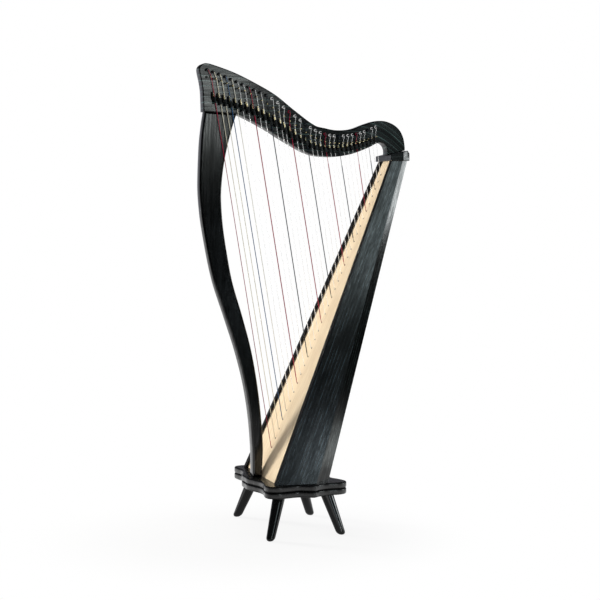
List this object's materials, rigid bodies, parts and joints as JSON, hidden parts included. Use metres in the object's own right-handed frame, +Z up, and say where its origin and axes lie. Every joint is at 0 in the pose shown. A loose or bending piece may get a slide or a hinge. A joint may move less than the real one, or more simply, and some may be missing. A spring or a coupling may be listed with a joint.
{
  "type": "lever harp",
  "caption": "Floor lever harp with a curved neck and pillar, slanted soundbox, strings from the soundboard to the neck's pins, a turning lever per string and a low stand.",
  "frame": {"origin": "on the floor under the middle of the harp's bounding box", "axes": "+Z up, +X from the pillar towards the soundbox, -Y the side of the strings and levers"},
  "size_m": [0.6696, 0.4582, 1.4492],
  "materials": {
    "black_wood": "black stain, satin",
    "gloss_black_wood": "black lacquer, gloss",
    "pale_spruce": "clear satin lacquer",
    "inner_wood": "bare",
    "steel": "blued",
    "lever_black": "black",
    "string": "clear monofilament and wound bass strings"
  },
  "bodies": {
    "harp": {"back_bevel_left": "black_wood", "back_bevel_right": "black_wood", "back_panel": "black_wood", "base_plate": "gloss_black_wood", "bottom_block": "inner_wood", "brace_lower": "inner_wood", "brace_upper": "inner_wood", "leg_front_left": "gloss_black_wood", "leg_front_right": "gloss_black_wood", "leg_rear_left": "gloss_black_wood", "leg_rear_right": "gloss_black_wood", "lining_left": "inner_wood", "lining_right": "inner_wood", "neck": "black_wood", "pillar": "black_wood", "side_panel_left": "black_wood", "side_panel_right": "black_wood", "soundboard": "pale_spruce", "soundbox_cap": "black_wood", "stand_bolt_front_left": "steel", "stand_bolt_front_right": "steel", "stand_bolt_rear_left": "steel", "stand_bolt_rear_right": "steel", "stand_plate": "gloss_black_wood", "string_set": "string", "top_block": "inner_wood"},
    "lever_01": {"lever_01": "lever_black"},
    "lever_02": {"lever_02": "lever_black"},
    "lever_03": {"lever_03": "lever_black"},
    "lever_04": {"lever_04": "lever_black"},
    "lever_05": {"lever_05": "lever_black"},
    "lever_06": {"lever_06": "lever_black"},
    "lever_07": {"lever_07": "lever_black"},
    "lever_08": {"lever_08": "lever_black"},
    "lever_09": {"lever_09": "lever_black"},
    "lever_10": {"lever_10": "lever_black"},
    "lever_11": {"lever_11": "lever_black"},
    "lever_12": {"lever_12": "lever_black"},
    "lever_13": {"lever_13": "lever_black"},
    "lever_14": {"lever_14": "lever_black"},
    "lever_15": {"lever_15": "lever_black"},
    "lever_16": {"lever_16": "lever_black"},
    "lever_17": {"lever_17": "lever_black"},
    "lever_18": {"lever_18": "lever_black"},
    "lever_19": {"lever_19": "lever_black"},
    "lever_20": {"lever_20": "lever_black"},
    "lever_21": {"lever_21": "lever_black"},
    "lever_22": {"lever_22": "lever_black"},
    "lever_23": {"lever_23": "lever_black"},
    "lever_24": {"lever_24": "lever_black"},
    "lever_25": {"lever_25": "lever_black"},
    "lever_26": {"lever_26": "lever_black"},
    "lever_27": {"lever_27": "lever_black"},
    "lever_28": {"lever_28": "lever_black"},
    "lever_29": {"lever_29": "lever_black"},
    "lever_30": {"lever_30": "lever_black"},
    "lever_31": {"lever_31": "lever_black"},
    "lever_32": {"lever_32": "lever_black"},
    "lever_33": {"lever_33": "lever_black"},
    "lever_34": {"lever_34": "lever_black"}
  },
  "joints": [
    {"name": "lever_01_turn", "type": "hinge", "parent": "harp", "child": "lever_01", "pos_m": [-0.28822, -0.03471, 1.34323], "axis": [-0.9858, 0, -0.1682], "range_deg": [0, 100]},
    {"name": "lever_02_turn", "type": "hinge", "parent": "harp", "child": "lever_02", "pos_m": [-0.2714, -0.03471, 1.33919], "axis": [-0.9856, 0, -0.1693], "range_deg": [0, 100]},
    {"name": "lever_03_turn", "type": "hinge", "parent": "harp", "child": "lever_03", "pos_m": [-0.25458, -0.03471, 1.33514], "axis": [-0.9854, 0, -0.1703], "range_deg": [0, 100]},
    {"name": "lever_04_turn", "type": "hinge", "parent": "harp", "child": "lever_04", "pos_m": [-0.2373, -0.03471, 1.33057], "axis": [-0.9853, 0, -0.1709], "range_deg": [0, 100]},
    {"name": "lever_05_turn", "type": "hinge", "parent": "harp", "child": "lever_05", "pos_m": [-0.21935, -0.03471, 1.32555], "axis": [-0.9853, 0, -0.1708], "range_deg": [0, 100]},
    {"name": "lever_06_turn", "type": "hinge", "parent": "harp", "child": "lever_06", "pos_m": [-0.20103, -0.03471, 1.32033], "axis": [-0.9854, 0, -0.1703], "range_deg": [0, 100]},
    {"name": "lever_07_turn", "type": "hinge", "parent": "harp", "child": "lever_07", "pos_m": [-0.18266, -0.03471, 1.31462], "axis": [-0.9855, 0, -0.1696], "range_deg": [0, 100]},
    {"name": "lever_08_turn", "type": "hinge", "parent": "harp", "child": "lever_08", "pos_m": [-0.16454, -0.03471, 1.30814], "axis": [-0.9856, 0, -0.1692], "range_deg": [0, 100]},
    {"name": "lever_09_turn", "type": "hinge", "parent": "harp", "child": "lever_09", "pos_m": [-0.1468, -0.03471, 1.30086], "axis": [-0.9856, 0, -0.1692], "range_deg": [0, 100]},
    {"name": "lever_10_turn", "type": "hinge", "parent": "harp", "child": "lever_10", "pos_m": [-0.12925, -0.03471, 1.2929], "axis": [-0.9855, 0, -0.1695], "range_deg": [0, 100]},
    {"name": "lever_11_turn", "type": "hinge", "parent": "harp", "child": "lever_11", "pos_m": [-0.11177, -0.03471, 1.28427], "axis": [-0.9855, 0, -0.1698], "range_deg": [0, 100]},
    {"name": "lever_12_turn", "type": "hinge", "parent": "harp", "child": "lever_12", "pos_m": [-0.09422, -0.03471, 1.27497], "axis": [-0.9854, 0, -0.17], "range_deg": [0, 100]},
    {"name": "lever_13_turn", "type": "hinge", "parent": "harp", "child": "lever_13", "pos_m": [-0.07644, -0.03471, 1.26445], "axis": [-0.9854, 0, -0.1701], "range_deg": [0, 100]},
    {"name": "lever_14_turn", "type": "hinge", "parent": "harp", "child": "lever_14", "pos_m": [-0.06286, -0.03471, 1.25289], "axis": [-0.9843, 0, -0.1766], "range_deg": [0, 100]},
    {"name": "lever_15_turn", "type": "hinge", "parent": "harp", "child": "lever_15", "pos_m": [-0.0451, -0.03471, 1.24138], "axis": [-0.9842, 0, -0.1771], "range_deg": [0, 100]},
    {"name": "lever_16_turn", "type": "hinge", "parent": "harp", "child": "lever_16", "pos_m": [-0.02777, -0.03471, 1.23103], "axis": [-0.9841, 0, -0.1777], "range_deg": [0, 100]},
    {"name": "lever_17_turn", "type": "hinge", "parent": "harp", "child": "lever_17", "pos_m": [-0.0109, -0.03471, 1.22177], "axis": [-0.9839, 0, -0.1788], "range_deg": [0, 100]},
    {"name": "lever_18_turn", "type": "hinge", "parent": "harp", "child": "lever_18", "pos_m": [0.00562, -0.03471, 1.21312], "axis": [-0.9836, 0, -0.1801], "range_deg": [0, 100]},
    {"name": "lever_19_turn", "type": "hinge", "parent": "harp", "child": "lever_19", "pos_m": [0.02179, -0.03471, 1.20559], "axis": [-0.9833, 0, -0.1818], "range_deg": [0, 100]},
    {"name": "lever_20_turn", "type": "hinge", "parent": "harp", "child": "lever_20", "pos_m": [0.03759, -0.03471, 1.19966], "axis": [-0.983, 0, -0.1835], "range_deg": [0, 100]},
    {"name": "lever_21_turn", "type": "hinge", "parent": "harp", "child": "lever_21", "pos_m": [0.05292, -0.03471, 1.19548], "axis": [-0.9826, 0, -0.1856], "range_deg": [0, 100]},
    {"name": "lever_22_turn", "type": "hinge", "parent": "harp", "child": "lever_22", "pos_m": [0.06783, -0.03471, 1.1928], "axis": [-0.9822, 0, -0.188], "range_deg": [0, 100]},
    {"name": "lever_23_turn", "type": "hinge", "parent": "harp", "child": "lever_23", "pos_m": [0.08248, -0.03471, 1.19146], "axis": [-0.9817, 0, -0.1905], "range_deg": [0, 100]},
    {"name": "lever_24_turn", "type": "hinge", "parent": "harp", "child": "lever_24", "pos_m": [0.09701, -0.03471, 1.19132], "axis": [-0.9813, 0, -0.1926], "range_deg": [0, 100]},
    {"name": "lever_25_turn", "type": "hinge", "parent": "harp", "child": "lever_25", "pos_m": [0.11157, -0.03471, 1.19228], "axis": [-0.981, 0, -0.1939], "range_deg": [0, 100]},
    {"name": "lever_26_turn", "type": "hinge", "parent": "harp", "child": "lever_26", "pos_m": [0.1261, -0.03471, 1.19419], "axis": [-0.9809, 0, -0.1944], "range_deg": [0, 100]},
    {"name": "lever_27_turn", "type": "hinge", "parent": "harp", "child": "lever_27", "pos_m": [0.14049, -0.03471, 1.19682], "axis": [-0.9809, 0, -0.1946], "range_deg": [0, 100]},
    {"name": "lever_28_turn", "type": "hinge", "parent": "harp", "child": "lever_28", "pos_m": [0.15461, -0.03471, 1.19993], "axis": [-0.9808, 0, -0.1949], "range_deg": [0, 100]},
    {"name": "lever_29_turn", "type": "hinge", "parent": "harp", "child": "lever_29", "pos_m": [0.16836, -0.03471, 1.20328], "axis": [-0.9806, 0, -0.1962], "range_deg": [0, 100]},
    {"name": "lever_30_turn", "type": "hinge", "parent": "harp", "child": "lever_30", "pos_m": [0.1816, -0.03471, 1.20705], "axis": [-0.9799, 0, -0.1993], "range_deg": [0, 100]},
    {"name": "lever_31_turn", "type": "hinge", "parent": "harp", "child": "lever_31", "pos_m": [0.19441, -0.03471, 1.2114], "axis": [-0.9789, 0, -0.2041], "range_deg": [0, 100]},
    {"name": "lever_32_turn", "type": "hinge", "parent": "harp", "child": "lever_32", "pos_m": [0.20699, -0.03471, 1.21606], "axis": [-0.9776, 0, -0.2104], "range_deg": [0, 100]},
    {"name": "lever_33_turn", "type": "hinge", "parent": "harp", "child": "lever_33", "pos_m": [0.21949, -0.03471, 1.22079], "axis": [-0.976, 0, -0.2178], "range_deg": [0, 100]},
    {"name": "lever_34_turn", "type": "hinge", "parent": "harp", "child": "lever_34", "pos_m": [0.23212, -0.03471, 1.22535], "axis": [-0.9741, 0, -0.2259], "range_deg": [0, 100]}
  ]
}
